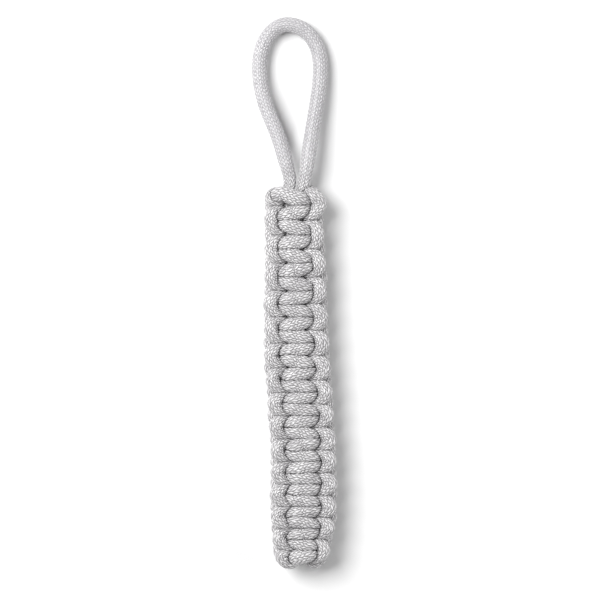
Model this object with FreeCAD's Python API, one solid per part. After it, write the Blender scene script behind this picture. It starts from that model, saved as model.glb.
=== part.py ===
"""Knotted cord lanyard: a hanging loop and a bar of fifteen square knots.

One length of braided cord makes the whole object. Its two middle strands leave the
bar as the hanging loop. At the far end they turn back on themselves and become the
two knotting cords, which tie one square knot after another round the middle strands
up to the foot of the loop, where both ends are cut and heat sealed.

The lanyard lies flat: +Y runs from the knots to the loop, +X is across the bar and
+Z is up, away from the surface. While it is built, y = 0 is the plane where the loop
leaves the first knot, and z = 0 is the middle of the bar's thickness. The finished
solids are then moved so that the origin is under the middle of the whole lanyard.

A knot is one rigid link, so each cord is cut at the planes between knots, and the
shallow V between two links is the room in which the bar curls.
"""

import FreeCAD
import Part
import math
import os

Vec = FreeCAD.Vector

# Cord
CORD_DIAMETER = 4.0
SHEATH_WALL = 0.45
YARNS_ROUND_THE_MIDDLE = 6
YARN_GAP = 0.08

# Bar of knots. Its width and thickness follow from the cords and these values.
KNOTS = 15
FIRST_PITCH = 7.6
LAST_PITCH = 5.55
CORE_DIAMETER = 3.4
CORE_GAP = 0.3  # between the two middle strands
EAR_DIAMETER = 2.8
EAR_GAP = 0.8  # between an ear in front and the ear behind it
CLEARANCE = 0.05  # between cords that lie against each other

# A cord's thickness where a knot squeezes it, as shares of a half knot's length
CROSSING_SHARE = 0.9
TUCK_SHARE = 0.4
# Where an ear bends inwards, from the middle of a knot, as a share of a half knot
EAR_BEND_SHARE = 0.45

# Sideways lean of the lower knots
LEAN = 2.0
LEAN_STARTS = -32.0
LEAN_ENDS = -72.0

# Joints
LINK_GAP = 0.3
CURL_PER_KNOT = 12.0
ROOT_GAP = 0.1  # between the loop's two feet
ROOT_OFFSET = 0.3  # of the loop's feet, to the right of the bar's middle

# Ends
TURN_DIAMETER = 2.6
TURN_DEPTH = 0.83
SEALED_DIAMETER = 2.6
SEALED_LENGTH = 1.1

# Centre line of the loop from its left foot over the top to its right foot,
# with z measured from the middle of the bar's thickness
ROOT_LEFT = ROOT_OFFSET - (CORD_DIAMETER + ROOT_GAP) / 2
ROOT_RIGHT = ROOT_OFFSET + (CORD_DIAMETER + ROOT_GAP) / 2
LOOP_FOOT = (CORD_DIAMETER + LINK_GAP) / 2  # the feet are round and stand just above the bar
LOOP_ROUTE = [
    (ROOT_LEFT, LOOP_FOOT, 0.0),
    (ROOT_LEFT - 0.15, 6.2, 0.0),
    (-3.7, 13.9, -0.9),
    (-7.8, 23.2, -2.2),
    (-8.9, 32.0, -3.0),
    (-7.5, 38.4, -3.2),
    (-4.0, 42.1, -3.2),
    (0.0, 42.5, -3.2),
    (4.2, 40.2, -3.2),
    (6.9, 35.0, -3.2),
    (6.9, 27.5, -2.7),
    (5.0, 16.5, -1.4),
    (ROOT_RIGHT + 0.25, 6.7, -0.1),
    (ROOT_RIGHT, LOOP_FOOT, 0.0),
]

ALONG = Vec(0, 1, 0)
PART_OF_RUN_IN_ARC = 0.45
BEYOND = 3.0  # how far a cut strand is made past the plane that trims it


def half_knot(index):
    """Length of one crossing of a knot, the first knot's index being 0. The knots are
    looser towards the loop, where the tying ended."""
    share = (1 - index / (KNOTS - 1)) ** 2
    return (LAST_PITCH + (FIRST_PITCH - LAST_PITCH) * share) / 2


# The longest knot has the thickest cords, and it sets the bar's width and thickness
LONGEST_HALF = max(FIRST_PITCH, LAST_PITCH) / 2
CROSSING_ROOM = CROSSING_SHARE * LONGEST_HALF
TUCK_ROOM = TUCK_SHARE * LONGEST_HALF
CORE_SPACING = CORE_DIAMETER + CORE_GAP
CORE_EDGE = (CORE_SPACING + CORE_DIAMETER) / 2
EAR_X = CORE_EDGE + TUCK_ROOM + EAR_DIAMETER / 2 + 2 * CLEARANCE
EAR_HEIGHT = (EAR_DIAMETER + EAR_GAP) / 2
BAR_WIDTH = 2 * EAR_X + EAR_DIAMETER
BAR_THICKNESS = CORE_DIAMETER + 2 * (CROSSING_ROOM + CLEARANCE)

# Seven yarns fill the sheath, six of them round the seventh
SHEATH_BORE = CORD_DIAMETER - 2 * SHEATH_WALL
YARN_DIAMETER = (SHEATH_BORE / 2 - CLEARANCE - YARN_GAP) / 1.5
YARN_SPACING = YARN_DIAMETER + YARN_GAP


def knot_top(index):
    """The y of the plane where a knot starts, below the knots before it."""
    return -sum(2 * half_knot(i) for i in range(index))


def lean_at(y):
    """How far the bar's middle has moved sideways at a y."""
    share = (LEAN_STARTS - y) / (LEAN_STARTS - LEAN_ENDS)
    share = min(1.0, max(0.0, share))
    return LEAN * share * share * (3 - 2 * share)


def rod(start, end, radius):
    """A straight round rod between two points, with flat ends."""
    run = end - start
    return Part.makeCylinder(radius, run.Length, start, run)


def ball(centre, radius):
    return Part.makeSphere(radius, centre)


def strand(points, radius):
    """Round rods through the points, with a ball at each of them, as a list."""
    balls = [ball(p, radius) for p in points]
    rods = [rod(a, b, radius) for a, b in zip(points, points[1:])]
    return balls + rods


def joined(pieces):
    """One solid from pieces that overlap."""
    whole = pieces[0]
    for piece in pieces[1:]:
        whole = whole.fuse(piece)
    return whole.removeSplitter().Solids[0]


def healed(solid):
    """The solid, mended where two of its edges come too near each other."""
    if not solid.isValid():
        solid.fix(1e-4, 1e-5, 1e-3)
    return solid


def link_room(half):
    """The space that one link may fill: a slab with a V taken off each face, so that
    two links can turn on the line where they meet, at the middle of the thickness."""
    thick = BAR_THICKNESS
    slope = math.tan(math.radians(CURL_PER_KNOT / 2))
    top = -LINK_GAP / 2
    bottom = -2 * half + LINK_GAP / 2
    outline = [
        (top, 0),
        (top - slope * thick, thick),
        (bottom + slope * thick, thick),
        (bottom, 0),
        (bottom + slope * thick, -thick),
        (top - slope * thick, -thick),
    ]
    corners = [Vec(-BAR_WIDTH, y, z) for y, z in outline]
    face = Part.Face(Part.makePolygon(corners + corners[:1]))
    return face.extrude(Vec(2 * BAR_WIDTH, 0, 0))


def front_cord(half):
    """The cord that crosses the front twice and shows as ears behind, in one knot.

    It comes down behind on the right, tucks forward, crosses to the left, goes down
    behind on the left, tucks forward again, crosses back and goes on down behind.
    """
    crossing = CROSSING_SHARE * half / 2
    tuck = TUCK_SHARE * half / 2
    ear = EAR_DIAMETER / 2
    front = BAR_THICKNESS / 2 - crossing
    tuck_x = EAR_X - ear - tuck - CLEARANCE

    def ear_point(side, y):
        return Vec(side * EAR_X, y, -EAR_HEIGHT)

    def tuck_points(side, ear_y, middle_y, level):
        """From the ear behind to the crossing in front, inside the other cord's ear."""
        return [
            ear_point(side, ear_y),
            Vec(side * tuck_x, middle_y, 0),
            Vec(side * tuck_x, middle_y, EAR_HEIGHT),
            Vec(side * CORE_EDGE, level, front),
        ]

    first, second = -half / 2, -3 * half / 2
    right_bend = max(EAR_BEND_SHARE * half, ear + CLEARANCE)
    left_bend = min((1 - EAR_BEND_SHARE) * half, half - ear - 2 * LINK_GAP)
    right_ends = -half + right_bend, -half - right_bend
    left_ends = -half + left_bend, -half - left_bend
    pieces = strand([ear_point(1, BEYOND), ear_point(1, right_ends[0])], ear)
    pieces += strand(tuck_points(1, right_ends[0], -0.75 * half, first), tuck)
    pieces += strand(tuck_points(-1, left_ends[0], -0.25 * half, first), tuck)
    pieces += strand([ear_point(-1, y) for y in left_ends], ear)
    pieces += strand(tuck_points(-1, left_ends[1], -1.75 * half, second), tuck)
    pieces += strand(tuck_points(1, right_ends[1], -1.25 * half, second), tuck)
    pieces += strand([ear_point(1, right_ends[1]), ear_point(1, -2 * half - BEYOND)], ear)
    for level in (first, second):
        reach = Vec(CORE_EDGE, level, front)
        pieces += strand([reach, Vec(-reach.x, level, front)], crossing)
    return healed(joined(pieces).common(link_room(half)).Solids[0])


def rear_cord(cord):
    """The front cord's twin, turned half round the length of the bar."""
    twin = cord.copy()
    twin.rotate(Vec(0, 0, 0), ALONG, 180)
    return twin


def core_cords(half):
    """The two middle strands, as far as this knot holds them."""
    room = link_room(half)
    strands = []
    for side in (-1, 1):
        foot = Vec(side * CORE_SPACING / 2, 0, 0)
        whole = Part.makeCylinder(CORE_DIAMETER / 2, 2 * half, foot, -ALONG)
        strands.append(whole.common(room).Solids[0])
    return strands


def lower_turns():
    """The two bends below the last knot, where a middle strand turns back and becomes
    a knotting cord. They meet the cut ends of the strands face to face."""
    half = half_knot(KNOTS - 1)
    radius = TURN_DIAMETER / 2
    bottom = -2 * half + LINK_GAP / 2
    below = Part.makeBox(2 * BAR_WIDTH, BAR_WIDTH, 2 * BAR_WIDTH,
                         Vec(-BAR_WIDTH, bottom - BAR_WIDTH, -BAR_WIDTH))
    turns = []
    for side in (-1, 1):
        bend = [
            Vec(side * CORE_SPACING / 2, bottom, 0),
            Vec(side * CORE_SPACING, bottom - TURN_DEPTH, -side * EAR_HEIGHT / 3),
            Vec(side * 0.8 * EAR_X, bottom - TURN_DEPTH, -side * 2 * EAR_HEIGHT / 3),
            Vec(side * EAR_X, bottom + TURN_DEPTH, -side * EAR_HEIGHT),
        ]
        turns.append(joined(strand(bend, radius)).common(below).Solids[0])
    return turns


def sealed_end(side):
    """A cut and melted cord end, standing a little out of the first knot."""
    radius = SEALED_DIAMETER / 2
    foot = Vec(side * EAR_X, -LINK_GAP / 2, -side * EAR_HEIGHT)
    stub = Part.makeCylinder(radius, SEALED_LENGTH, foot, ALONG)
    rim = [e for e in stub.Edges if e.BoundBox.YMin > foot.y + SEALED_LENGTH / 2]
    return stub.makeFillet(radius / 2, [e for e in rim if len(e.Vertexes) == 1])


def rounded_path(points):
    """Straight runs joined by tangent arcs, as one wire, and the arcs' radii."""
    edges, radii = [], []
    start = points[0]
    for before, corner, after in zip(points, points[1:], points[2:]):
        back, ahead = before - corner, after - corner
        turn = math.pi - back.getAngle(ahead)
        cut = PART_OF_RUN_IN_ARC * min(back.Length, ahead.Length)
        radius = cut / math.tan(turn / 2)
        back.normalize()
        ahead.normalize()
        arc_start, arc_end = corner + back * cut, corner + ahead * cut
        towards = (back + ahead).normalize()
        middle = corner + towards * (radius / math.cos(turn / 2) - radius)
        edges.append(Part.LineSegment(start, arc_start).toShape())
        edges.append(Part.Arc(arc_start, middle, arc_end).toShape())
        radii.append(radius)
        start = arc_end
    edges.append(Part.LineSegment(start, points[-1]).toShape())
    return Part.Wire(edges), radii


def tube(path, radius, offset=None):
    """A solid tube along a wire, beside it by an offset if there is one."""
    start = path.OrderedVertexes[0].Point
    heading = path.OrderedEdges[0].tangentAt(path.OrderedEdges[0].FirstParameter)
    ring = Part.Wire(Part.makeCircle(radius, start + (offset or Vec(0, 0, 0)), heading))
    solid = path.makePipeShell([ring], True, False)
    return solid if solid.Volume > 0 else solid.reversed()


def hanging_loop():
    """(sheath, inner yarns) of the loop, between its two hinge points."""
    points = [Vec(*p) for p in LOOP_ROUTE]
    path, radii = rounded_path(points)
    print("loop: length %.1f mm, arcs %s" % (path.Length, [round(r, 1) for r in radii]))
    outer = CORD_DIAMETER / 2
    filled = tube(path, outer)
    print("loop tube: volume is %.4f of section times length"
          % (filled.Volume / (math.pi * outer**2 * path.Length)))
    feet = [ball(points[0], outer), ball(points[-1], outer)]
    hollow = tube(path, SHEATH_BORE / 2)
    sheath = filled.multiFuse(feet).removeSplitter().cut(hollow)
    first = path.OrderedEdges[0]
    heading = first.tangentAt(first.FirstParameter)
    side = heading.cross(Vec(0, 0, 1)).normalize()
    up = side.cross(heading)
    offsets = [Vec(0, 0, 0)]
    for i in range(YARNS_ROUND_THE_MIDDLE):
        angle = 2 * math.pi * i / YARNS_ROUND_THE_MIDDLE
        offsets.append((side * math.cos(angle) + up * math.sin(angle)) * YARN_SPACING)
    yarns = [tube(path, YARN_DIAMETER / 2, offset) for offset in offsets]
    return sheath.Solids[0], yarns


def placed(shape, index):
    """A knot's shape moved to its own place in the bar."""
    middle = knot_top(index) - half_knot(index)
    copy = shape.copy()
    copy.translate(Vec(lean_at(middle), knot_top(index), 0))
    return copy


def build():
    """All nodes, by name, as lists of solids."""
    nodes = {}
    for index in range(KNOTS):
        half = half_knot(index)
        name = "knot_%02d_" % (index + 1)
        cord = front_cord(half)
        nodes[name + "front_cord"] = [placed(cord, index)]
        nodes[name + "rear_cord"] = [placed(rear_cord(cord), index)]
        nodes[name + "core_cords"] = [placed(s, index) for s in core_cords(half)]
    nodes["lower_turns"] = [placed(s, KNOTS - 1) for s in lower_turns()]
    nodes["sealed_end_right"] = [placed(sealed_end(1), 0)]
    nodes["sealed_end_left"] = [placed(sealed_end(-1), 0)]
    sheath, yarns = hanging_loop()
    nodes["loop_sheath"] = [sheath]
    nodes["loop_inner_yarns"] = yarns
    return nodes


def main():
    os.makedirs("parts", exist_ok=True)
    nodes = build()
    box = Part.makeCompound([s for solids in nodes.values() for s in solids])
    box = box.optimalBoundingBox(False, False)
    shift = Vec(-box.Center.x, -box.Center.y, -box.ZMin)
    for name, solids in nodes.items():
        for solid in solids:
            solid.translate(shift)
            if not solid.isValid():
                print("not valid:", name)
        shape = solids[0] if len(solids) == 1 else Part.makeCompound(solids)
        shape.exportStep("parts/" + name + ".step")
    print("size %.2f x %.2f x %.2f mm" % (box.XLength, box.YLength, box.ZLength))
    print("origin of the bar, moved to %.3f, %.3f, %.3f" % tuple(shift))
    print("hinges at y", [round(knot_top(i) + shift.y, 3) for i in range(1, KNOTS)])
    print("loop hinge at y %.3f" % (LOOP_ROUTE[0][1] + shift.y))


main()
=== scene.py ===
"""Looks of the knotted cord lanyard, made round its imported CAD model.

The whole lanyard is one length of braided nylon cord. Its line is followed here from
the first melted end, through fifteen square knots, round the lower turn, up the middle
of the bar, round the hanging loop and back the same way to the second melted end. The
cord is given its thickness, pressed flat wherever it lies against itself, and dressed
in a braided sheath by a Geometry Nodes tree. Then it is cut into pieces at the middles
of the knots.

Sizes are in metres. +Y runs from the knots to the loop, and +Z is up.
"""

import logging
import math
from dataclasses import dataclass, field
from enum import Enum
from typing import Dict, List, Optional, Sequence, Tuple, Union

import bpy
import bmesh
import numpy as np
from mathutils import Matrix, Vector


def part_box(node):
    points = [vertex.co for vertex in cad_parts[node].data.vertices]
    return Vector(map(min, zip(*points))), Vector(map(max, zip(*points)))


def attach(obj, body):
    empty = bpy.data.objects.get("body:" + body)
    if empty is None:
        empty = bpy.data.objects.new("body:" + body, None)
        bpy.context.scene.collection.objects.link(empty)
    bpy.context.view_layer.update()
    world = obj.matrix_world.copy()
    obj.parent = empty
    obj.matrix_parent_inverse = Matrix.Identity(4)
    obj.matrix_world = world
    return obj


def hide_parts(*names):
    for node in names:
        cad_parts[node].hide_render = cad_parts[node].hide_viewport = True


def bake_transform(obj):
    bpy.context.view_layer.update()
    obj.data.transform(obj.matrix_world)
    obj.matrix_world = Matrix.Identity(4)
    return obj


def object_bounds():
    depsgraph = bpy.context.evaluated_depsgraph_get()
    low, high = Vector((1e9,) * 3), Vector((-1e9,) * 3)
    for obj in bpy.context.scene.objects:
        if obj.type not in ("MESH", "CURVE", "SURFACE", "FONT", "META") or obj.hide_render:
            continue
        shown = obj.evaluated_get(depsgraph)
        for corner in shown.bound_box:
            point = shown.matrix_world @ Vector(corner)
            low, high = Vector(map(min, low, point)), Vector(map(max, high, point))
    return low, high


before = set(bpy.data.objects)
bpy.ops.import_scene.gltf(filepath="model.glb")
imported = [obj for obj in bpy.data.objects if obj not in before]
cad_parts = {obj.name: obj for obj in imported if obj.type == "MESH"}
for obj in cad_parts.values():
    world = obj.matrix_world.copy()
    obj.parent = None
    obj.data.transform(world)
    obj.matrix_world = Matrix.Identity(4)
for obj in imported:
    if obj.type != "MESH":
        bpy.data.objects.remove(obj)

CAD_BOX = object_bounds()
LOG = logging.getLogger("lanyard")
MM = 0.001
SEED = 15
BRAID_REPEAT = 4.0  # crossings in one repeat of the braid, two over and two under
YARN_CROWN = 3.8  # how steeply a yarn falls off to its sides
YARN_DIP = 0.85  # how far it dips at the ends of a float
FAMILY_SHIFT = 50.0  # sets the yarns of the two families apart in the noise

Object, Material, Socket = bpy.types.Object, bpy.types.Material, bpy.types.NodeSocket
Value = Union[Socket, float]
Point = Tuple[float, float, float]
Colour = Tuple[float, float, float]
Knotted = Tuple[float, float, float, float]  # x, y, z and the cord's radius


class Side(Enum):
    """Which way round a knotting cord is tied: REAR is FRONT turned half round the bar."""

    FRONT = 1
    REAR = -1


def in_scene(name: str, data: bpy.types.ID) -> Object:
    """Returns a new object with its data, linked to the scene."""
    made = bpy.data.objects.new(name, data)
    bpy.context.scene.collection.objects.link(made)
    return made


# ---------------------------------------------------------------- node building


@dataclass
class Maths:
    """Adds math nodes to a tree and wires them, one call for each node."""

    tree: bpy.types.NodeTree

    def __call__(self, operation: str, *values: Value) -> Socket:
        """Adds one math node.

        Args:
            operation: the node's operation, such as ADD.
            values: sockets to link, or numbers to set, in the order of its inputs.

        Returns:
            Its output.
        """
        node = self.tree.nodes.new("ShaderNodeMath")
        node.operation = operation
        for socket, value in zip(node.inputs, values):
            if isinstance(value, Socket):
                self.tree.links.new(value, socket)
            else:
                socket.default_value = value
        return node.outputs[0]

    def hump(self, value: Value, depth: float) -> Socket:
        """Returns 1 where a value is 0, less its square times depth elsewhere."""
        return self("SUBTRACT", 1.0, self("MULTIPLY", self("POWER", self("ABSOLUTE", value), 2.0), depth))

    def mix(self, share: Value, low: Value, high: Value) -> Socket:
        """Returns low where share is 0 and high where it is 1."""
        return self("ADD", low, self("MULTIPLY", share, self("SUBTRACT", high, low)))


@dataclass(frozen=True)
class BraidSockets:
    """What the braid's maths puts out at a place on the cord."""

    height: Socket
    across: Socket
    lengthwise: Socket
    yarn: Socket


def braid_maths(
    maths: Maths, around: Value, along: Value, carriers: Value, pitch: Value
) -> BraidSockets:
    """Wires the rule of a two-over, two-under braid, for a mesh or for a material.

    Two families of yarns wind opposite ways. A place lies on yarn i of one family and
    yarn j of the other, and the first is on top where i + j is 0 or 1 in each four.

    Args:
        maths: the tree to build in.
        around: turns round the cord, 0 to 1.
        along: metres along the cord.
        carriers: yarns in each family.
        pitch: metres along the cord for one turn of a yarn.

    Returns:
        Height of the yarn on top, 0 to 1, with the place across it (-0.5 to 0.5) and
        along its float (-1 to 1), and a number that differs from yarn to yarn.
    """
    turns = maths("DIVIDE", along, pitch)
    first = maths("MULTIPLY", maths("ADD", around, turns), carriers)
    second = maths("MULTIPLY", maths("SUBTRACT", around, turns), carriers)
    i, j = maths("FLOOR", first), maths("FLOOR", second)
    phase = maths("FLOORED_MODULO", maths("ADD", i, j), BRAID_REPEAT)
    first_on_top = maths("LESS_THAN", phase, 1.5)
    across = maths.mix(first_on_top, maths("FRACT", second), maths("FRACT", first))
    across = maths("SUBTRACT", across, 0.5)
    on_first = maths("FLOORED_MODULO", maths("ADD", second, i), BRAID_REPEAT)
    on_second = maths("FLOORED_MODULO", maths("ADD", first, j), BRAID_REPEAT)
    on_second = maths("SUBTRACT", on_second, BRAID_REPEAT / 2)
    lengthwise = maths("SUBTRACT", maths.mix(first_on_top, on_second, on_first), 1.0)
    crown = maths("SQRT", maths("MAXIMUM", maths.hump(across, YARN_CROWN), 0.0))
    height = maths("MULTIPLY", crown, maths.hump(lengthwise, YARN_DIP))
    own = maths.mix(first_on_top, maths("FLOORED_MODULO", j, carriers), maths("FLOORED_MODULO", i, carriers))
    yarn = maths("ADD", own, maths("MULTIPLY", first_on_top, FAMILY_SHIFT))
    return BraidSockets(height, across, lengthwise, yarn)


@dataclass(frozen=True)
class Braid:
    """Sizes of the cord's braided sheath."""

    carriers: int = 18
    pitch: float = 18.5 * MM
    relief: float = 0.17 * MM
    middle_height: float = 0.7

    def relief_tree(self) -> bpy.types.GeometryNodeTree:
        """Builds the tree that raises the sheath's yarns on a smooth cord.

        Returns:
            The tree, with the braid's sizes and its finish as inputs.
        """
        tree = bpy.data.node_groups.new("braided_sheath", "GeometryNodeTree")
        for name, kind in (("Cord", "NodeSocketGeometry"), ("Carriers", "NodeSocketFloat"),
                           ("Braid Pitch", "NodeSocketFloat"), ("Relief", "NodeSocketFloat"),
                           ("Finish", "NodeSocketMaterial")):
            tree.interface.new_socket(name, in_out="INPUT", socket_type=kind)
        tree.interface.new_socket("Sheath", in_out="OUTPUT", socket_type="NodeSocketGeometry")
        nodes, links = tree.nodes, tree.links
        given = nodes.new("NodeGroupInput")
        result = nodes.new("NodeGroupOutput")
        places = []
        for name in ("around", "along"):
            place = nodes.new("GeometryNodeInputNamedAttribute")
            place.data_type = "FLOAT"
            place.inputs["Name"].default_value = name
            places.append(place.outputs["Attribute"])
        maths = Maths(tree)
        braid = braid_maths(maths, *places, given.outputs["Carriers"], given.outputs["Braid Pitch"])
        rise = maths("MULTIPLY", maths("SUBTRACT", braid.height, self.middle_height), given.outputs["Relief"])
        normal = nodes.new("GeometryNodeInputNormal")
        offset = nodes.new("ShaderNodeVectorMath")
        offset.operation = "SCALE"
        links.new(normal.outputs[0], offset.inputs[0])
        links.new(rise, offset.inputs["Scale"])
        move = nodes.new("GeometryNodeSetPosition")
        links.new(given.outputs["Cord"], move.inputs["Geometry"])
        links.new(offset.outputs[0], move.inputs["Offset"])
        real = nodes.new("GeometryNodeRealizeInstances")
        links.new(move.outputs[0], real.inputs[0])
        finish = nodes.new("GeometryNodeSetMaterial")
        links.new(real.outputs[0], finish.inputs["Geometry"])
        links.new(given.outputs["Finish"], finish.inputs["Material"])
        links.new(finish.outputs[0], result.inputs[0])
        return tree

    def dress(self, smooth: Object, finish: Material) -> bpy.types.Mesh:
        """Raises the yarns on a smooth cord.

        Args:
            smooth: the cord, with the attributes "around" and "along".
            finish: the material that the sheath gets.

        Returns:
            The sheath as a plain mesh.
        """
        tree = self.relief_tree()
        modifier = smooth.modifiers.new("braided_sheath", "NODES")
        modifier.node_group = tree
        values = {"Carriers": float(self.carriers), "Braid Pitch": self.pitch, "Relief": self.relief,
                  "Finish": finish}
        for item in tree.interface.items_tree:
            if item.item_type == "SOCKET" and item.name in values:
                modifier[item.identifier] = values[item.name]
        graph = bpy.context.evaluated_depsgraph_get()
        mesh = bpy.data.meshes.new_from_object(smooth.evaluated_get(graph), depsgraph=graph)
        smooth.modifiers.clear()
        return mesh


# ---------------------------------------------------------------- finishes


def new_material(name: str) -> Tuple[Material, bpy.types.ShaderNode]:
    """Returns a new material and its Principled BSDF."""
    made = bpy.data.materials.new(name)
    made.use_nodes = True
    return made, made.node_tree.nodes["Principled BSDF"]


def noise(tree: bpy.types.NodeTree, place: Socket, scale: float, detail: float) -> Socket:
    """Adds a noise texture.

    Args:
        tree: the tree to build in.
        place: the socket that says where on the piece it is.
        scale: the noise's scale.
        detail: its detail.

    Returns:
        The socket of its value.
    """
    made = tree.nodes.new("ShaderNodeTexNoise")
    made.inputs["Scale"].default_value = scale
    made.inputs["Detail"].default_value = detail
    tree.links.new(place, made.inputs["Vector"])
    return made.outputs[0]


def raise_surface(tree: bpy.types.NodeTree, height: Socket, distance: float) -> None:
    """Adds a bump to a material.

    Args:
        tree: the material's tree.
        height: the socket of the height, 0 to 1.
        distance: how high a height of 1 is.
    """
    bump = tree.nodes.new("ShaderNodeBump")
    bump.inputs["Strength"].default_value = 1.0
    bump.inputs["Distance"].default_value = distance
    tree.links.new(height, bump.inputs["Height"])
    tree.links.new(bump.outputs[0], tree.nodes["Principled BSDF"].inputs["Normal"])


@dataclass(frozen=True)
class YarnLook:
    """The shader group that every finish of the braided cord shares."""

    fibre_stretch: float = 0.6
    fibre_shift: float = 7.31
    tones_in_a_turn: float = 8.0
    ply_depth: float = 1.5

    def group(self) -> bpy.types.ShaderNodeTree:
        """Builds the group, which reads the cord's UV map.

        Returns:
            The group. It puts out the yarn's height, its fibres and its tone.
        """
        tree = bpy.data.node_groups.new("yarn_look", "ShaderNodeTree")
        for name in ("Carriers", "Braid Pitch", "Fibre Count", "Plies"):
            tree.interface.new_socket(name, in_out="INPUT", socket_type="NodeSocketFloat")
        for name in ("Height", "Fibre", "Yarn Tone"):
            tree.interface.new_socket(name, in_out="OUTPUT", socket_type="NodeSocketFloat")
        nodes, links = tree.nodes, tree.links
        given, result = nodes.new("NodeGroupInput"), nodes.new("NodeGroupOutput")
        uv = nodes.new("ShaderNodeUVMap")
        uv.uv_map = "cord"
        split = nodes.new("ShaderNodeSeparateXYZ")
        links.new(uv.outputs[0], split.inputs[0])
        maths = Maths(tree)
        braid = braid_maths(maths, split.outputs[0], split.outputs[1], given.outputs["Carriers"],
                            given.outputs["Braid Pitch"])
        place = nodes.new("ShaderNodeCombineXYZ")
        links.new(maths("MULTIPLY", braid.across, given.outputs["Fibre Count"]), place.inputs[0])
        links.new(maths("MULTIPLY", braid.lengthwise, self.fibre_stretch), place.inputs[1])
        links.new(maths("MULTIPLY", braid.yarn, self.fibre_shift), place.inputs[2])
        spot = nodes.new("ShaderNodeCombineXYZ")
        links.new(braid.yarn, spot.inputs[0])
        stretch = maths("DIVIDE", given.outputs["Braid Pitch"], self.tones_in_a_turn)
        links.new(maths("FLOOR", maths("DIVIDE", split.outputs[1], stretch)), spot.inputs[1])
        tone = nodes.new("ShaderNodeTexWhiteNoise")
        tone.noise_dimensions = "2D"
        links.new(spot.outputs[0], tone.inputs["Vector"])
        ply = maths("FRACT", maths("MULTIPLY", maths("ADD", braid.across, 0.5), given.outputs["Plies"]))
        ply = maths.hump(maths("SUBTRACT", ply, 0.5), self.ply_depth)
        links.new(maths("MULTIPLY", braid.height, ply), result.inputs["Height"])
        links.new(noise(tree, place.outputs[0], 1.0, 2.0), result.inputs["Fibre"])
        links.new(tone.outputs[0], result.inputs["Yarn Tone"])
        return tree


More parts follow.
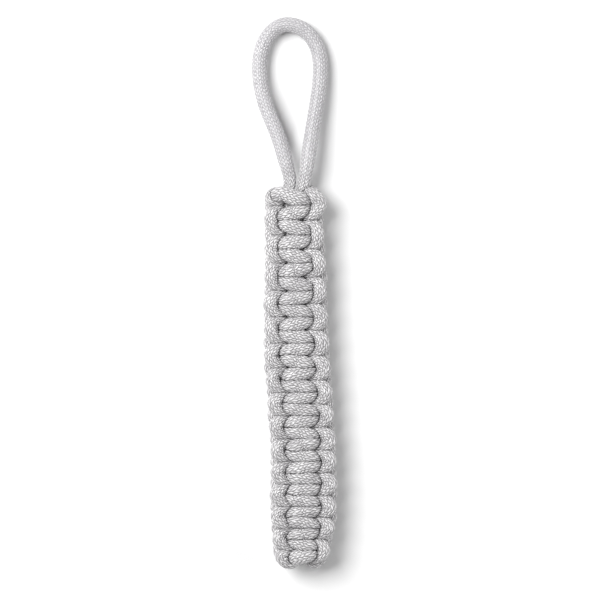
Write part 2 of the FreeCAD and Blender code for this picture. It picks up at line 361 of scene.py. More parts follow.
@dataclass(frozen=True)
class BraidedNylon:
    """Glossy silver-grey nylon yarn, braided, with painted shade in the gaps between yarns
    and in the creases where the cord presses on itself.

    The slack colours are those of the free loop, whose braid isn't drawn open by knots.
    """

    name: str = "silver_braided_nylon"
    light: Colour = (1.0, 0.988, 1.0)
    shade: Colour = (0.59, 0.572, 0.60)
    slack_light: Colour = (0.70, 0.688, 0.708)
    slack_shade: Colour = (0.52, 0.508, 0.53)
    # Painted shade: a near-black colour for the gaps between yarn floats, and a lighter grey one on the slack
    # loop.
    gap_shade: Colour = (0.06, 0.055, 0.05)
    slack_gap_shade: Colour = (0.33, 0.32, 0.335)
    roughness: Tuple[float, float] = (0.16, 0.38)
    bump: float = 0.3 * MM
    fibre_count: float = 5.0
    plies: int = 2
    yarn_share: float = 0.5
    fibre_share: float = 1.3
    fibre_middle: float = 0.22
    patch_scale: float = 140.0
    patch_share: float = 0.7
    # Painted shade: how the gap colour follows the yarn's height.
    height_gain: float = 1.25
    gap_shade_power: float = 0.8
    # Painted shade: how sharply and how deeply the creases where the cord presses on itself are darkened, and
    # how dark.
    crease_shade_power: float = 1.6
    crease_shade_depth: float = 0.95
    crease_shade_tint: float = 0.35
    fibre_relief: float = 0.5
    slack_relief: float = 0.6
    specular: float = 0.85
    coat: float = 0.5
    coat_roughness: float = 0.14

    def material(self, group: bpy.types.ShaderNodeTree, braid: Braid) -> Material:
        """Builds the material.

        Args:
            group: the shared yarn look.
            braid: the sheath's sizes, for the group's inputs.

        Returns:
            The material of every stretch of cord.
        """
        made, shader = new_material(self.name)
        nodes, links = made.node_tree.nodes, made.node_tree.links
        maths = Maths(made.node_tree)
        look = nodes.new("ShaderNodeGroup")
        look.node_tree = group
        look.inputs["Carriers"].default_value = float(braid.carriers)
        look.inputs["Braid Pitch"].default_value = braid.pitch
        look.inputs["Fibre Count"].default_value = self.fibre_count
        look.inputs["Plies"].default_value = float(self.plies)
        place = nodes.new("ShaderNodeTexCoord")
        patches = noise(made.node_tree, place.outputs["Object"], self.patch_scale, 2.0)
        crease_shade_mask, drawn = self._attribute(made, "crease_shade_mask"), self._attribute(made, "tight")
        height, fibre, yarn_tone = look.outputs["Height"], look.outputs["Fibre"], look.outputs["Yarn Tone"]
        fibres = maths("MULTIPLY", maths("SUBTRACT", fibre, self.fibre_middle), self.fibre_share)
        tone = maths("ADD", maths("MULTIPLY", yarn_tone, self.yarn_share), fibres)
        tone = maths("ADD", tone, maths("MULTIPLY", maths("SUBTRACT", patches, 0.5), self.patch_share))
        yarn = self._mix(made, tone, self._mix(made, drawn, self.slack_shade, self.shade),
                         self._mix(made, drawn, self.slack_light, self.light))
        # Painted shade: where a yarn float falls away towards its neighbours, the colour goes to the gap
        # colour.
        depth = maths("MINIMUM", maths("MULTIPLY", height, self.height_gain), 1.0)
        depth = maths("POWER", depth, self.gap_shade_power)
        gap_shade = self._mix(made, drawn, self.slack_gap_shade, self.gap_shade)
        colour = self._mix(made, depth, gap_shade, yarn)
        # Painted shade: the creases where the cord presses on itself are darkened towards a near-black
        # colour.
        pressed = maths("POWER", crease_shade_mask, self.crease_shade_power)
        unshaded_share = maths("SUBTRACT", 1.0, maths("MULTIPLY", pressed, self.crease_shade_depth))
        colour = self._mix(made, unshaded_share, tuple(self.crease_shade_tint * c for c in self.gap_shade), colour)
        links.new(colour, shader.inputs["Base Color"])
        links.new(maths.mix(fibre, *self.roughness), shader.inputs["Roughness"])
        raised = maths("ADD", height, maths("MULTIPLY", fibre, self.fibre_relief))
        raised = maths("MULTIPLY", raised, maths.mix(drawn, self.slack_relief, 1.0))
        raise_surface(made.node_tree, raised, self.bump)
        shader.inputs["Specular IOR Level"].default_value = self.specular
        shader.inputs["Coat Weight"].default_value = self.coat
        shader.inputs["Coat Roughness"].default_value = self.coat_roughness
        return made

    @staticmethod
    def _attribute(made: Material, name: str) -> Socket:
        """Returns the value of one of the cord's attributes."""
        node = made.node_tree.nodes.new("ShaderNodeAttribute")
        node.attribute_name = name
        return node.outputs["Fac"]

    @staticmethod
    def _mix(made: Material, share: Value, low: object, high: object) -> Socket:
        """Adds a node that mixes two colours.

        Args:
            made: the material to build in.
            share: how much of the second colour shows, 0 to 1.
            low: the first colour, as numbers or a socket.
            high: the second colour, as numbers or a socket.

        Returns:
            The socket of the mixed colour.
        """
        node = made.node_tree.nodes.new("ShaderNodeMix")
        node.data_type = "RGBA"
        made.node_tree.links.new(share, node.inputs["Factor"])
        for socket, value in ((node.inputs[6], low), (node.inputs[7], high)):
            if isinstance(value, Socket):
                made.node_tree.links.new(value, socket)
            else:
                socket.default_value = (*value, 1.0)
        return node.outputs[2]


@dataclass(frozen=True)
class MeltedNylon:
    """The cord's end after a flame: hard, smooth and a little scorched."""

    name: str = "melted_nylon"
    clean: Colour = (0.52, 0.51, 0.50)
    scorched: Colour = (0.16, 0.13, 0.10)
    stain_scale: float = 900.0
    stain_edges: Tuple[float, float] = (0.38, 0.58)
    roughness: Tuple[float, float] = (0.2, 0.5)
    bump: float = 0.1 * MM

    def material(self) -> Material:
        """Builds the material.

        Returns:
            The material of both sealed ends.
        """
        made, shader = new_material(self.name)
        nodes, links = made.node_tree.nodes, made.node_tree.links
        place = nodes.new("ShaderNodeTexCoord")
        stain = noise(made.node_tree, place.outputs["Object"], self.stain_scale, 4.0)
        ramp = nodes.new("ShaderNodeValToRGB")
        colours = self.scorched, self.clean
        for element, edge, colour in zip(ramp.color_ramp.elements, self.stain_edges, colours):
            element.position = edge
            element.color = (*colour, 1.0)
        links.new(stain, ramp.inputs[0])
        links.new(ramp.outputs[0], shader.inputs["Base Color"])
        links.new(Maths(made.node_tree).mix(stain, *self.roughness), shader.inputs["Roughness"])
        raise_surface(made.node_tree, stain, self.bump)
        return made


# ---------------------------------------------------------------- the bar's layout


@dataclass
class BarLayout:
    """Where the knots lie, read from the core strands of the CAD model."""

    knots: int = 15
    link_gap: float = 0.3 * MM
    upper_lean: float = -0.65 * MM
    upper_length: float = 26.0 * MM
    taper_length: float = 12.5 * MM
    right_taper: float = 0.29
    left_taper: float = 0.11
    fine_rows: int = 600
    smoothing_reach: int = 12
    planes: List[float] = field(init=False)
    middle_z: float = field(init=False)

    def __post_init__(self) -> None:
        """Reads the boxes of the core strands."""
        boxes = [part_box(f"knot_{k + 1:02d}_core_cords") for k in range(self.knots)]
        self.planes = [boxes[0][1][1] + self.link_gap / 2]
        self.planes += [low[1] - self.link_gap / 2 for low, _ in boxes]
        self.middle_z = (boxes[0][0][2] + boxes[0][1][2]) / 2
        ys = [(low[1] + high[1]) / 2 for low, high in boxes]
        xs = [(low[0] + high[0]) / 2 for low, high in boxes]
        self._fine_y = np.linspace(CAD_BOX[0][1], CAD_BOX[1][1], self.fine_rows)
        leans = np.interp(self._fine_y, ys[::-1], xs[::-1])
        width = 2 * self.smoothing_reach + 1
        padded = np.pad(leans, self.smoothing_reach, mode="edge")
        self._fine_x = np.convolve(padded, np.full(width, 1 / width), mode="valid")
        above = (self._fine_y - self.planes[0]) / self.upper_length
        self._fine_x += self.upper_lean * self._eased(above + 1.0)

    @staticmethod
    def _eased(share: np.ndarray) -> np.ndarray:
        """Returns a share held between 0 and 1, with a soft start and stop."""
        share = np.clip(share, 0.0, 1.0)
        return share * share * (3 - 2 * share)

    def lean(self, y: Union[float, np.ndarray]) -> Union[float, np.ndarray]:
        """Returns the x of the bar's middle at one y or at each of many."""
        return np.interp(y, self._fine_y, self._fine_x)

    def middle(self, knot: int) -> float:
        """Returns the y of the middle of a knot, counted from 0."""
        return (self.planes[knot] + self.planes[knot + 1]) / 2

    def place(self, points: np.ndarray) -> np.ndarray:
        """Moves points from the straight bar's own axes to their place on the lanyard.

        Args:
            points: rows of x from the bar's middle, y, and z from its mid-thickness.

        Returns:
            The same rows in the lanyard's frame, drawn in at the bar's lower end.
        """
        placed = np.array(points, float)
        drawn_in = self._eased((self.planes[-1] + self.taper_length - placed[:, 1]) / self.taper_length)
        placed[:, 0] *= 1 - drawn_in * np.where(placed[:, 0] > 0, self.right_taper, self.left_taper)
        placed[:, 0] += self.lean(placed[:, 1])
        placed[:, 2] += self.middle_z
        return placed


# ---------------------------------------------------------------- the cord's line


@dataclass
class KnottingCord:
    """One of the two cords that tie the knots, with its radius where nothing presses it.

    In every knot the cord crosses the front from right to left, goes down behind on the
    left, comes forward, crosses back, and goes down behind on the right. The other cord
    is the same, turned half round the length of the bar.
    """

    layout: BarLayout
    side: Side
    bar_z: float = 3.15 * MM
    bar_radius: float = 1.98 * MM
    quarter_drop: float = 0.12 * MM
    quarter_x: float = 1.9 * MM
    corner_x: float = 3.05 * MM
    corner_z: float = 2.15 * MM
    corner_radius: float = 1.62 * MM
    tuck_share: float = 0.11
    dive_x: float = 2.8 * MM
    dive_radius: float = 1.3 * MM
    foot_x: float = 3.2 * MM
    foot_z: float = 1.1 * MM
    foot_radius: float = 1.5 * MM
    shoulder_x: float = 4.8 * MM
    shoulder_y: float = 0.75 * MM
    shoulder_z: float = 1.75 * MM
    shoulder_radius: float = 1.7 * MM
    ear_x: float = 5.5 * MM
    ear_growth: float = 1.0 * MM
    shoulder_growth: float = 0.8
    growing_knots: int = 5
    ear_z: float = 1.9 * MM
    ear_radius: float = 1.92 * MM
    core_x: float = 1.85 * MM
    core_radius: float = 1.7 * MM
    core_step: float = 3.0 * MM
    unevenness: float = 0.11 * MM

    def _ear(self, side: int, start: float, stop: float, knot: float) -> List[Knotted]:
        """Lays an ear behind the bar, from one dive to the next.

        Args:
            side: 1 on the right and -1 on the left.
            start: y of the dive that the cord comes from.
            stop: y of the dive that it goes to.
            knot: how many knots lie above it, since the lower ears stand out further.

        Returns:
            Five points, each x, y, z and radius.
        """
        out = self.ear_growth * min(1.0, knot / self.growing_knots)
        shoulder_x = side * (self.shoulder_x + self.shoulder_growth * out)
        return [
            (side * self.foot_x, start, -self.foot_z, self.foot_radius),
            (shoulder_x, start - self.shoulder_y, -self.shoulder_z, self.shoulder_radius),
            (side * (self.ear_x + out), (start + stop) / 2, -self.ear_z, self.ear_radius),
            (shoulder_x, stop + self.shoulder_y, -self.shoulder_z, self.shoulder_radius),
            (side * self.foot_x, stop, -self.foot_z, self.foot_radius),
        ]

    def _crossing(self, side: int, start: float, stop: float) -> List[Knotted]:
        """Lays a front crossing, from one dive to the other.

        Args:
            side: the side that it starts from, 1 on the right and -1 on the left.
            start: y of the dive that the cord comes from.
            stop: y of the dive that it goes to.

        Returns:
            Seven points, each x, y, z and radius.
        """
        mid = (start + stop) / 2
        share = self.quarter_x / self.corner_x
        low_z = self.bar_z - self.quarter_drop
        return [
            (side * self.dive_x, start, 0.0, self.dive_radius),
            (side * self.corner_x, start, self.corner_z, self.corner_radius),
            (side * self.quarter_x, mid + (start - mid) * share, low_z, self.bar_radius),
            (0.0, mid, self.bar_z, self.bar_radius),
            (-side * self.quarter_x, mid + (stop - mid) * share, low_z, self.bar_radius),
            (-side * self.corner_x, stop, self.corner_z, self.corner_radius),
            (-side * self.dive_x, stop, 0.0, self.dive_radius),
        ]

    def _start(self, top: float) -> List[Knotted]:
        """Lays the cord's start, from its melted end.

        Args:
            top: y of the upper plane.

        Returns:
            Three points, each x, y, z and radius.
        """
        if self.side is Side.FRONT:
            return [
                (3.6 * MM, top + 0.1 * MM, -1.1 * MM, 1.3 * MM),
                (4.7 * MM, top - 0.2 * MM, -1.5 * MM, 1.5 * MM),
                (5.4 * MM, top - 1.1 * MM, -1.9 * MM, 1.8 * MM),
            ]
        return [
            (4.3 * MM, top - 0.2 * MM, 1.9 * MM, 1.2 * MM),
            (5.3 * MM, top - 0.8 * MM, 0.7 * MM, 1.3 * MM),
            (5.8 * MM, top - 1.9 * MM, -0.9 * MM, 1.45 * MM),
        ]

    def _shape_first(self, crossing: List[Knotted], ear: List[Knotted], top: float) -> None:
        """Arches the first crossing over the loop's legs, or lets the first ear bulge.

        Args:
            crossing: the points of the knot's first crossing, which are changed.
            ear: the points of the ear after it, which are changed.
            top: y of the upper plane.
        """
        if self.side is Side.FRONT:
            crossing[3] = (-0.3 * MM, top - 1.75 * MM, self.bar_z + 0.15 * MM, 2.0 * MM)
            crossing[4] = (-2.3 * MM, top - 1.0 * MM, self.bar_z - 0.1 * MM, 2.0 * MM)
            crossing[5] = (-4.1 * MM, top - 1.3 * MM, 2.2 * MM, 1.8 * MM)
            crossing[6] = (-4.2 * MM, top - 1.6 * MM, 0.4 * MM, 1.4 * MM)
        else:
            ear[0] = (-3.9 * MM, top - 0.75 * MM, -1.0 * MM, 1.5 * MM)
            ear[1] = (-5.3 * MM, top - 1.5 * MM, -1.8 * MM, 1.8 * MM)
            ear[2] = (-6.6 * MM, top - 3.1 * MM, -1.9 * MM, self.ear_radius)

    def route(self) -> np.ndarray:
        """Lays the cord from its melted end through all the knots and up the core.

        Returns:
            Rows of x, y, z and radius, in the bar's own axes.
        """
        planes = self.layout.planes
        top, bottom = planes[0], planes[-1]
        points = self._start(top)
        for knot in range(self.layout.knots):
            above, below = planes[knot], planes[knot + 1]
            middle = (above + below) / 2
            tuck = (above - below) * self.tuck_share
            if knot == 0:
                points += self._ear(1, above - tuck, middle + tuck, 0)[3:]
                if self.side is Side.REAR:
                    points[-2:] = [(5.5 * MM, middle + tuck + 0.4 * MM, -1.2 * MM, 1.5 * MM),
                                   (3.6 * MM, middle + tuck, -1.1 * MM, 1.5 * MM)]
            else:
                last = (planes[knot - 1] + above) / 2
                last_tuck = (planes[knot - 1] - above) * self.tuck_share
                points += self._ear(1, last - last_tuck, middle + tuck, knot - 0.5)
            first = self._crossing(1, middle + tuck, above - tuck)
            left = self._ear(-1, above - tuck, below + tuck, knot)
            if knot == 0:
                self._shape_first(first, left, above)
            points += first + left
            points += self._crossing(-1, below + tuck, middle - tuck)
        points += [
            (self.foot_x, middle - tuck, -self.foot_z, self.foot_radius),
            (self.shoulder_x + self.ear_growth, middle - tuck - 0.8 * MM, -self.shoulder_z, 1.85 * MM),
            (5.95 * MM, bottom + 1.0 * MM, -1.75 * MM, 1.85 * MM),
            (4.7 * MM, bottom - 0.1 * MM, -1.45 * MM, 1.85 * MM),
            (3.0 * MM, bottom - 0.15 * MM, -0.7 * MM, 1.75 * MM),
            (2.0 * MM, bottom + 0.9 * MM, -0.1 * MM, self.core_radius),
        ]
        rng = np.random.default_rng(SEED + self.side.value)
        array = np.array(points)
        array[3:-4, :3] += rng.normal(0.0, self.unevenness, (len(points) - 7, 3))
        rise = np.arange(bottom + self.core_step, top - 2.0 * MM, self.core_step)
        core = np.column_stack([np.full_like(rise, self.core_x), rise, np.zeros_like(rise),
                                np.full_like(rise, self.core_radius)])
        array = np.vstack([array, core])
        array[:, 0] *= self.side.value
        array[:, 2] *= self.side.value
        return array


@dataclass
class HangingLoop:
    """The free loop at the top, from inside the first knot over its left foot to its right.

    The route is in the bar's own axes. It is that of the CAD model's tube, but for its
    left foot, which leans towards the right one, and its two ends inside the knot.
    """

    layout: BarLayout
    diameter: float = 4.0 * MM
    drawn_radius: float = 1.9 * MM
    foot_radius: float = 1.5 * MM
    gripped_length: float = 9.0 * MM
    route: Sequence[Point] = (
        (-0.0018, -0.0028, 0.0),
        (-0.0017, -0.0006, 0.0),
        (-0.0006, 0.0022, 0.0),
        (-0.0016, 0.0062, 0.0),
        (-0.0037, 0.0139, -0.0009),
        (-0.0078, 0.0232, -0.0022),
        (-0.0089, 0.0320, -0.0030),
        (-0.0075, 0.0384, -0.0032),
        (-0.0040, 0.0421, -0.0032),
        (0.0000, 0.0425, -0.0032),
        (0.0042, 0.0402, -0.0032),
        (0.0069, 0.0350, -0.0032),
        (0.0069, 0.0275, -0.0027),
        (0.0050, 0.0165, -0.0014),
        (0.0036, 0.0067, -0.0001),
        (0.0028, 0.0022, 0.0),
        (0.0019, -0.0006, 0.0),
        (0.0018, -0.0028, 0.0),
    )

    def line(self) -> np.ndarray:
        """Draws the loop's line as a NURBS curve.

        Returns:
            Rows of x, y and z along it, in the lanyard's frame.
        """
        top = self.layout.planes[0]
        shift = np.array([float(self.layout.lean(top)), top, self.layout.middle_z])
        data = bpy.data.curves.new("loop_line", "CURVE")
        data.dimensions = "3D"
        data.resolution_u = 24
        spline = data.splines.new("NURBS")
        spline.points.add(len(self.route) - 1)
        for knot, point in zip(spline.points, self.route):
            knot.co = (*(np.array(point) + shift), 1.0)
        spline.order_u = 3
        spline.use_endpoint_u = True
        holder = in_scene("loop_line", data)
        graph = bpy.context.evaluated_depsgraph_get()
        mesh = bpy.data.meshes.new_from_object(holder.evaluated_get(graph), depsgraph=graph)
        points = np.array([v.co[:] for v in mesh.vertices])
        bpy.data.objects.remove(holder)
        bpy.data.meshes.remove(mesh)
        return points


# ---------------------------------------------------------------- the cord's surface


def smooth_through(points: np.ndarray, steps: int = 16) -> np.ndarray:
    """Draws a smooth line through points, with their further columns carried along.

    Args:
        points: one row for each point, x, y, z and any further values.
        steps: how many places are put on each stretch.

    Returns:
        Rows of the same columns, close together.
    """
    gaps = np.sqrt(np.linalg.norm(np.diff(points[:, :3], axis=0), axis=1))
    times = np.concatenate([[0.0], np.cumsum(gaps)])
    slopes = np.gradient(points, times, axis=0)
    places = np.arange(steps) / steps
    square, cube = places ** 2, places ** 3
    shapes = (2 * cube - 3 * square + 1, cube - 2 * square + places, 3 * square - 2 * cube, cube - square)
    rows = []
    for a in range(len(points) - 1):
        span = times[a + 1] - times[a]
        values = (points[a], slopes[a] * span, points[a + 1], slopes[a + 1] * span)
        rows.append(sum(np.outer(shape, value) for shape, value in zip(shapes, values)))
    rows.append(points[-1:])
    return np.vstack(rows)


def evenly_spaced(line: np.ndarray, step: float) -> Tuple[np.ndarray, np.ndarray]:
    """Spreads a line's rows evenly along it.

    Args:
        line: rows of x, y, z and any further values.
        step: the distance from row to row, about.

    Returns:
        The new rows, and how far along the line each lies.
    """
    lengths = np.linalg.norm(np.diff(line[:, :3], axis=0), axis=1)
    keep = np.concatenate([[True], lengths > 1e-9])
    line = line[keep]
    distance = np.concatenate([[0.0], np.cumsum(np.linalg.norm(np.diff(line[:, :3], axis=0), axis=1))])
    count = int(round(distance[-1] / step)) + 1
    places = np.linspace(0.0, distance[-1], count)
    rows = np.column_stack([np.interp(places, distance, line[:, c]) for c in range(line.shape[1])])
    return rows, places


@dataclass
class SoftCord:
    """The whole cord as a soft tube that is pressed flat where it meets itself.

    Each place on its surface stops about halfway to the nearest other stretch of the
    cord, as soap bubbles do, and keeps its own radius where nothing is near.
    """

    centres: np.ndarray
    radii: np.ndarray
    distance: np.ndarray
    around: int = 64
    reach: float = 4.3 * MM
    own_stretch: float = 3.2 * MM
    rounding: float = 0.22 * MM
    slack: float = 0.03 * MM
    thinnest: float = 0.35 * MM
    deepest_press: float = 0.3
    neighbours: int = 88
    block: int = 200

    def frames(self) -> Tuple[np.ndarray, np.ndarray]:
        """Works out axes across the cord, which turn no more than they must.

        Returns:
            Two unit vectors at each place, square to the cord and to each other.
        """
        tangents = np.gradient(self.centres, axis=0)
        tangents /= np.linalg.norm(tangents, axis=1)[:, None]
        across = np.zeros_like(tangents)
        across[0] = np.cross(tangents[0], (0.0, 0.0, 1.0))
        across[0] /= np.linalg.norm(across[0])
        for i in range(1, len(tangents)):
            carried = across[i - 1] - tangents[i] * np.dot(across[i - 1], tangents[i])
            across[i] = carried / np.sqrt(np.dot(carried, carried))
        return across, np.cross(tangents, across)

    def surface(self) -> Tuple[np.ndarray, np.ndarray]:
        """Works out the pressed surface.

        Returns:
            Its points, ring by ring, and how hard each is pressed, 0 to 1, which is the mask of
            the shade painted in the creases.
        """
        across, up = self.frames()
        angles = 2 * math.pi * np.arange(self.around) / self.around
        cosines, sines = np.cos(angles)[None, :, None], np.sin(angles)[None, :, None]
        spokes = across[:, None, :] * cosines + up[:, None, :] * sines
        others, weights, spots = self.centres[::2], self.radii[::2], self.distance[::2]
        limit = np.empty(spokes.shape[:2])
        for start in range(0, len(self.centres), self.block):
            rows = slice(start, start + self.block)
            apart = others[None, :, :] - self.centres[rows][:, None, :]
            square = np.einsum("ijk,ijk->ij", apart, apart)
            own = np.abs(spots[None, :] - self.distance[rows][:, None]) < self.own_stretch
            square[own] = 1.0
            near = np.argpartition(square, self.neighbours, axis=1)[:, :self.neighbours]
            apart = np.take_along_axis(apart, near[:, :, None], axis=1)
            square = np.take_along_axis(square, near, axis=1)
            room = square + self.radii[rows][:, None] ** 2 - weights[near] ** 2
            room[square > self.reach ** 2] = 1.0
            towards = np.einsum("ijk,ilk->ijl", spokes[rows], apart)
            reach = np.where(towards > 1e-7, room[:, None, :] / (2 * np.maximum(towards, 1e-7)), 1.0)
            limit[rows] = reach.min(axis=2)
        free = self.radii[:, None]
        pressed = np.clip(limit - self.slack, self.thinnest, 3 * free)
        blend = np.clip(0.5 + 0.5 * (pressed - free) / self.rounding, 0.0, 1.0)
        radius = pressed * (1 - blend) + free * blend - self.rounding * blend * (1 - blend)
        radius = self.softened(radius, 2)
        crease_shade_mask = self.softened(np.clip((free - radius) / (self.deepest_press * free), 0.0, 1.0), 1)
        return self.centres[:, None, :] + spokes * radius[:, :, None], crease_shade_mask

    @staticmethod
    def softened(values: np.ndarray, times: int) -> np.ndarray:
        """Averages values a little with those beside them, round and along.

        Args:
            values: one row for each ring.
            times: how often it is done.

        Returns:
            Values of the same shape.
        """
        for _ in range(times):
            values = 0.5 * values + 0.25 * (np.roll(values, 1, axis=1) + np.roll(values, -1, axis=1))
            inner = 0.5 * values[1:-1] + 0.25 * (values[2:] + values[:-2])
            values = np.vstack([values[:1], inner, values[-1:]])
        return values


@dataclass
class CordMesh:
    """Makes meshes of the cord, whole or as a stretch of it, from rings of points."""

    rings: np.ndarray
    distance: np.ndarray
    crease_shade_mask: np.ndarray
    tight: np.ndarray

    def build(self, name: str, first: int, last: int, normals: Optional[np.ndarray] = None) -> Object:
        """Makes a closed mesh of the rings from first to last.

        Args:
            name: the object's name.
            first: index of the first ring.
            last: index of the last ring.
            normals: shading normals of all rings, so that two stretches meet unseen.

        Returns:
            The object, at the origin, with a UV map and its attributes.
        """
        rings = self.rings[first:last + 1]
        count, around = rings.shape[:2]
        ring = np.arange(around)
        nxt = (ring + 1) % around
        low = (np.arange(count - 1) * around)[:, None]
        high = low + around
        quads = np.stack([low + ring, low + nxt, high + nxt, high + ring], axis=2).reshape(-1, 4)
        ends = count * around, count * around + 1
        end_row = (count - 1) * around
        caps = np.concatenate([
            np.column_stack([np.full(around, ends[0]), nxt, ring]),
            np.column_stack([np.full(around, ends[1]), end_row + ring, end_row + nxt]),
        ])
        points = np.vstack([rings.reshape(-1, 3), rings[0].mean(axis=0), rings[-1].mean(axis=0)])
        mesh = bpy.data.meshes.new(name)
        mesh.vertices.add(len(points))
        mesh.vertices.foreach_set("co", points.ravel())
        corners = np.concatenate([quads.ravel(), caps.ravel()]).astype(np.int32)
        starts = np.concatenate([np.arange(len(quads)) * 4, len(quads) * 4 + np.arange(len(caps)) * 3])
        mesh.loops.add(len(corners))
        mesh.loops.foreach_set("vertex_index", corners)
        mesh.polygons.add(len(starts))
        mesh.polygons.foreach_set("loop_start", starts.astype(np.int32))
        mesh.update(calc_edges=True)
        mesh.polygons.foreach_set("use_smooth", np.ones(len(starts), bool))
        spots = self.distance[first:last + 1]
        along = np.concatenate([np.repeat(spots, around), [spots[0], spots[-1]]])
        turn = np.concatenate([np.tile(ring / around, count), [0.0, 0.0]])
        # The mask of the shade painted in the creases; the hidden end caps get it in full.
        crease_shade_mask = np.concatenate([self.crease_shade_mask[first:last + 1].ravel(), [1.0, 1.0]])
        tight = np.concatenate([np.repeat(self.tight[first:last + 1], around), [1.0, 1.0]])
        for label, values in (("around", turn), ("along", along), ("crease_shade_mask", crease_shade_mask), ("tight", tight)):
            attribute = mesh.attributes.new(label, "FLOAT", "POINT")
            attribute.data.foreach_set("value", values.astype(np.float32))
        uv = mesh.uv_layers.new(name="cord")
        u = turn[corners]
        seam = np.tile(ring[None, :, None] == around - 1, (count - 1, 1, 4))
        seam &= np.array([False, True, True, False])
        u[:len(quads) * 4][seam.reshape(-1)] = 1.0
        uv.data.foreach_set("uv", np.column_stack([u, along[corners]]).astype(np.float32).ravel())
        if normals is not None:
            ends_out = normals[[first, last]].mean(axis=1)
            own = np.vstack([normals[first:last + 1].reshape(-1, 3), ends_out + (0.0, 0.0, 1e-3)])
            own /= np.linalg.norm(own, axis=1)[:, None]
            mesh.normals_split_custom_set_from_vertices(own.tolist())
        return in_scene(name, mesh)


# ---------------------------------------------------------------- sub-assemblies


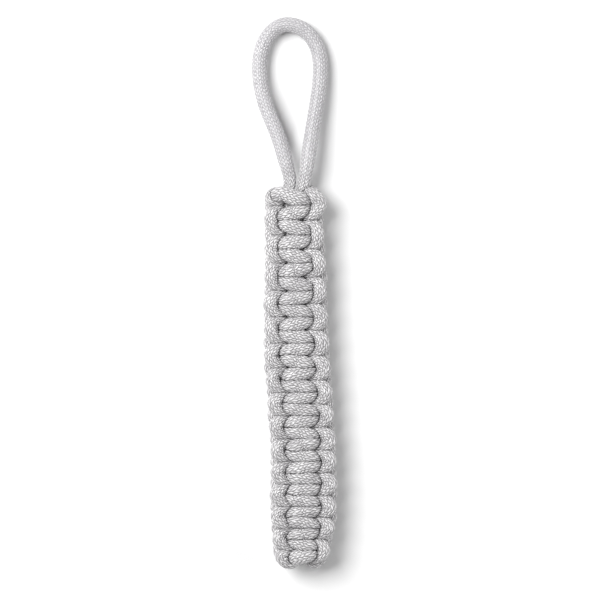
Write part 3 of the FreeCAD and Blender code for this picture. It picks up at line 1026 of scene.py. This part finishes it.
@dataclass
class Lanyard:
    """The whole cord: its line, its surface, and the pieces that it is cut into."""

    layout: BarLayout
    braid: Braid
    step: float = 0.2 * MM
    ear_cut_x: float = 5.2 * MM
    fold_below: float = 2.15 * MM
    fold_above: float = 3.44 * MM

    def __post_init__(self) -> None:
        """Joins the two knotting cords and the loop into one line."""
        self.loop = HangingLoop(self.layout)
        front = smooth_through(KnottingCord(self.layout, Side.FRONT).route())
        rear = smooth_through(KnottingCord(self.layout, Side.REAR).route())
        front[:, :3] = self.layout.place(front[:, :3])
        rear[:, :3] = self.layout.place(rear[:, :3])
        loop = self.loop.line()[::-1]
        free = np.clip((loop[:, 1] - self.layout.planes[0]) / self.loop.gripped_length, 0.0, 1.0)
        growth = self.loop.drawn_radius - self.loop.foot_radius
        loop = np.column_stack([loop, self.loop.foot_radius + growth * free])
        whole = np.vstack([front, loop, rear[::-1]])
        rows, self.distance = evenly_spaced(whole, self.step)
        self.centres, self.radii = rows[:, :3], rows[:, 3]
        self.tight = 1 - np.clip((rows[:, 1] - self.layout.planes[0]) / self.loop.gripped_length, 0.0, 1.0)
        self.loop_rings = self._nearest(loop[0, :3]), self._nearest(loop[-1, :3])

    def _nearest(self, point: np.ndarray) -> int:
        """Returns the index of the ring whose centre is nearest to a point."""
        return int(np.argmin(np.linalg.norm(self.centres - point, axis=1)))

    def surface(self, finish: Material) -> None:
        """Works out the pressed surface and raises the braid on it.

        Args:
            finish: the cord's material.
        """
        cord = SoftCord(self.centres, self.radii, self.distance)
        rings, crease_shade_mask = cord.surface()
        whole = CordMesh(rings, self.distance, crease_shade_mask, self.tight).build("whole_cord", 0, len(rings) - 1)
        dressed = self.braid.dress(whole, finish)
        count = rings.shape[0] * rings.shape[1]
        points = np.empty(len(dressed.vertices) * 3, np.float32)
        dressed.vertices.foreach_get("co", points)
        normals = np.empty(len(dressed.vertices) * 3, np.float32)
        dressed.vertex_normals.foreach_get("vector", normals)
        self.normals = normals.reshape(-1, 3)[:count].reshape(rings.shape)
        raised = points.reshape(-1, 3)[:count].reshape(rings.shape)
        self.mesh = CordMesh(raised, self.distance, crease_shade_mask, self.tight)
        bpy.data.objects.remove(whole)
        bpy.data.meshes.remove(dressed)

    def _cuts(self, first: int, last: int, ear_side: int) -> List[int]:
        """Finds the rings where a stretch passes the middle of a knot.

        Args:
            first: first ring of the stretch.
            last: last ring of the stretch.
            ear_side: 1 or -1 for a knotting cord, whose cuts are at the middle of its
                ears on that side, or 0 for a core strand, which is cut at each middle.

        Returns:
            One ring for each knot, in rising order.
        """
        cuts = []
        y = self.centres[first:last, 1]
        x = self.centres[first:last, 0] - self.layout.lean(y)
        for knot in range(self.layout.knots):
            away = np.abs(y - self.layout.middle(knot))
            if ear_side:
                away = np.where(x * ear_side > self.ear_cut_x, away, 1.0)
            cuts.append(first + int(np.argmin(away)))
        return sorted(cuts)

    def _lowest(self, first: int, last: int) -> int:
        """Returns the ring that is furthest down the bar, from ring first to before ring last."""
        return first + int(np.argmin(self.centres[first:last, 1]))

    def pieces(self, finish: Material) -> List[Object]:
        """Cuts the cord at the middles of the knots and hangs the top pieces and the lower turns on their
        knots.

        Args:
            finish: the cord's material.

        Returns:
            The pieces of the four runs, each from the top down, and the two lower turns.
        """
        right_foot, left_foot = self.loop_rings
        end = len(self.centres) - 1
        right_turn, left_turn = self._lowest(0, right_foot), self._lowest(left_foot + 1, end + 1)
        made: List[Object] = []
        cuts: Dict[str, List[int]] = {}
        for name, start, turn, ear_side in (
            ("front_cord", 0, right_turn, -1),
            ("right_core", right_foot, right_turn, 0),
            ("left_core", left_foot, left_turn, 0),
            ("rear_cord", end, left_turn, 1),
        ):
            places = self._cuts(min(start, turn), max(start, turn), ear_side)
            cuts[name] = places if start < turn else places[::-1]
            edges = [start] + cuts[name]
            for index in range(self.layout.knots):
                low, high = sorted(edges[index:index + 2])
                piece = self.mesh.build(f"{name}_{index:02d}", low, high, self.normals)
                made.append(self._dress(piece, finish, index, name))
        for name, low, high, run in (
            ("right_lower_turn", cuts["front_cord"][-1], cuts["right_core"][-1], "front_cord"),
            ("left_lower_turn", cuts["left_core"][-1], cuts["rear_cord"][-1], "rear_cord"),
        ):
            piece = self.mesh.build(name, low, high, self.normals)
            made.append(self._dress(piece, finish, self.layout.knots, run))
            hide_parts("lower_turns")
        return made

    def _dress(self, piece: Object, finish: Material, index: int, name: str) -> Object:
        """Gives a piece its finish, and hangs the top pieces and the lower turns on their knots.

        Args:
            piece: the stretch of cord.
            finish: its material.
            index: how many middles of knots it starts below. From 1 to 14 it is also
                the number of the hinge that the piece crosses.
            name: the run that it belongs to, which says what CAD node it stands for.

        Returns:
            The same piece.
        """
        piece.data.materials.append(finish)
        knots = self.layout.knots
        if index in (0, knots):
            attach(piece, f"knot_{max(index, 1):02d}")
        else:
            middles = [self.layout.middle(index - 1), self.layout.middle(index)]
            start, stop = [(float(self.layout.lean(y)), y, self.layout.middle_z) for y in middles]
            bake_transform(piece)
        kind = "core_cords" if name.endswith("core") else name
        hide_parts(f"knot_{max(index, 1):02d}_{kind}")
        return piece

    def hanging_loop(self, finish: Material) -> Object:
        """Makes the loop.

        Args:
            finish: the cord's material.

        Returns:
            The loop.
        """
        first, last = self.loop_rings
        piece = self.mesh.build("hanging_loop_sheath", first, last, self.normals)
        piece.data.materials.append(finish)
        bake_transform(piece)
        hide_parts("loop_sheath", "loop_inner_yarns")
        return piece


@dataclass
class SealedEnds:
    """The two cut ends of the cord, each melted to a small uneven bead."""

    lanyard: Lanyard
    swelling: float = 1.08
    lumps: float = 0.06
    ripples: float = 0.03
    length: float = 0.8 * MM

    def build(self, finish: Material) -> List[Object]:
        """Makes both beads, on the first and last rings of the cord.

        Args:
            finish: the beads' material.

        Returns:
            The two beads, the front cord's first.
        """
        made = []
        rings = self.lanyard.mesh.rings
        for name, node, ring, inner in (("sealed_end_front_cord", "sealed_end_right", rings[0], rings[4]),
                                        ("sealed_end_rear_cord", "sealed_end_left", rings[-1], rings[-5])):
            centre = ring.mean(axis=0)
            outward = centre - inner.mean(axis=0)
            outward /= np.linalg.norm(outward)
            radius = float(np.linalg.norm(ring - centre, axis=1).mean()) * self.swelling
            work = bmesh.new()
            bmesh.ops.create_icosphere(work, subdivisions=5, radius=1.0)
            turn = Vector(outward).to_track_quat("Z", "Y")
            for vertex in work.verts:
                co = vertex.co.copy()
                lumps = 1 + self.lumps * math.sin(5 * co.x + 2) * math.cos(4 * co.y)
                lumps += self.ripples * math.sin(11 * co.y + 7 * co.x)
                flat = Vector((co.x * radius * lumps, co.y * radius * lumps, co.z * self.length * lumps))
                vertex.co = turn @ flat + Vector(centre)
            bmesh.ops.recalc_face_normals(work, faces=work.faces)
            mesh = bpy.data.meshes.new(name)
            work.to_mesh(mesh)
            work.free()
            mesh.polygons.foreach_set("use_smooth", np.ones(len(mesh.polygons), bool))
            piece = in_scene(name, mesh)
            piece.data.materials.append(finish)
            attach(piece, "knot_01")
            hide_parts(node)
            made.append(piece)
        return made


@dataclass(frozen=True)
class Studio:
    """A white floor, two lamps, an even sky, and a camera straight above."""

    distance: float = 1.2
    view_width: float = 152.9 * MM
    centre: Tuple[float, float] = (1.42 * MM, -2.0 * MM)
    key_direction: Point = (-0.66, 0.38, 1.0)
    lamp_distance: float = 0.6
    key_size: float = 0.46
    key_power: float = 4.9
    fill_direction: Point = (0.95, -0.15, 0.55)
    fill_size: float = 0.14
    fill_power: float = 1.3
    sky: float = 0.21
    floor_half: float = 1.5
    floor_drop: float = 0.25 * MM
    floor_tone: float = 0.9
    floor_roughness: float = 0.9

    def camera(self) -> Object:
        """Puts the camera above the lanyard, with the loop towards the top of the frame.

        Returns:
            The camera.
        """
        data = bpy.data.cameras.new("camera")
        data.sensor_width = 36.0
        data.lens = data.sensor_width * self.distance / self.view_width
        data.clip_end = 10.0
        camera = in_scene("camera", data)
        camera.location = (*self.centre, self.distance)
        bpy.context.scene.camera = camera
        return camera

    def lamp(self, name: str, direction: Point, size: float, power: float) -> Object:
        """Adds a round lamp that shines on the lanyard.

        Args:
            name: the lamp's name.
            direction: the way from the lanyard to the lamp.
            size: its width.
            power: its power in watts.

        Returns:
            The lamp.
        """
        data = bpy.data.lights.new(name, "AREA")
        data.shape = "DISK"
        data.size = size
        data.energy = power
        lamp = in_scene(name, data)
        towards = Vector(direction).normalized()
        lamp.location = towards * self.lamp_distance
        lamp.rotation_euler = towards.to_track_quat("Z", "Y").to_euler()
        return lamp

    def light(self) -> None:
        """Adds the key lamp, a weaker one across from it, and an even sky."""
        self.lamp("key", self.key_direction, self.key_size, self.key_power)
        self.lamp("fill", self.fill_direction, self.fill_size, self.fill_power)
        world = bpy.data.worlds.new("sky")
        world.use_nodes = True
        world.node_tree.nodes["Background"].inputs["Color"].default_value = (1.0, 1.0, 1.0, 1.0)
        world.node_tree.nodes["Background"].inputs["Strength"].default_value = self.sky
        bpy.context.scene.world = world
        bpy.context.scene.view_settings.view_transform = "Standard"

    def floor(self) -> Object:
        """Lays the plain floor under the lanyard.

        Returns:
            The floor, which belongs to the stage and not to the object.
        """
        half, tone = self.floor_half, self.floor_tone
        mesh = bpy.data.meshes.new("floor")
        low = CAD_BOX[0][2] - self.floor_drop
        mesh.from_pydata([(-half, -half, low), (half, -half, low), (half, half, low), (-half, half, low)], [],
                         [(0, 1, 2, 3)])
        made, shader = new_material("white_floor")
        shader.inputs["Base Color"].default_value = (tone, tone, tone, 1.0)
        shader.inputs["Roughness"].default_value = self.floor_roughness
        mesh.materials.append(made)
        floor = in_scene("floor", mesh)
        return floor


def main() -> None:
    """Builds the lanyard and the studio, in order, and reports each piece."""
    logging.basicConfig(level=logging.INFO, format="%(name)s: %(message)s")
    studio = Studio()
    studio.camera()
    studio.light()
    studio.floor()
    braid = Braid()
    nylon = BraidedNylon().material(YarnLook().group(), braid)
    melted = MeltedNylon().material()
    lanyard = Lanyard(BarLayout(), braid)
    lanyard.surface(nylon)
    made = [lanyard.hanging_loop(nylon)]
    made += lanyard.pieces(nylon)
    made += SealedEnds(lanyard).build(melted)
    for piece in made:
        LOG.info("%s: %d faces", piece.name, len(piece.data.polygons))
    LOG.info("the whole cord is %.3f m long", lanyard.distance[-1])


if __name__ == "__main__":
    main()
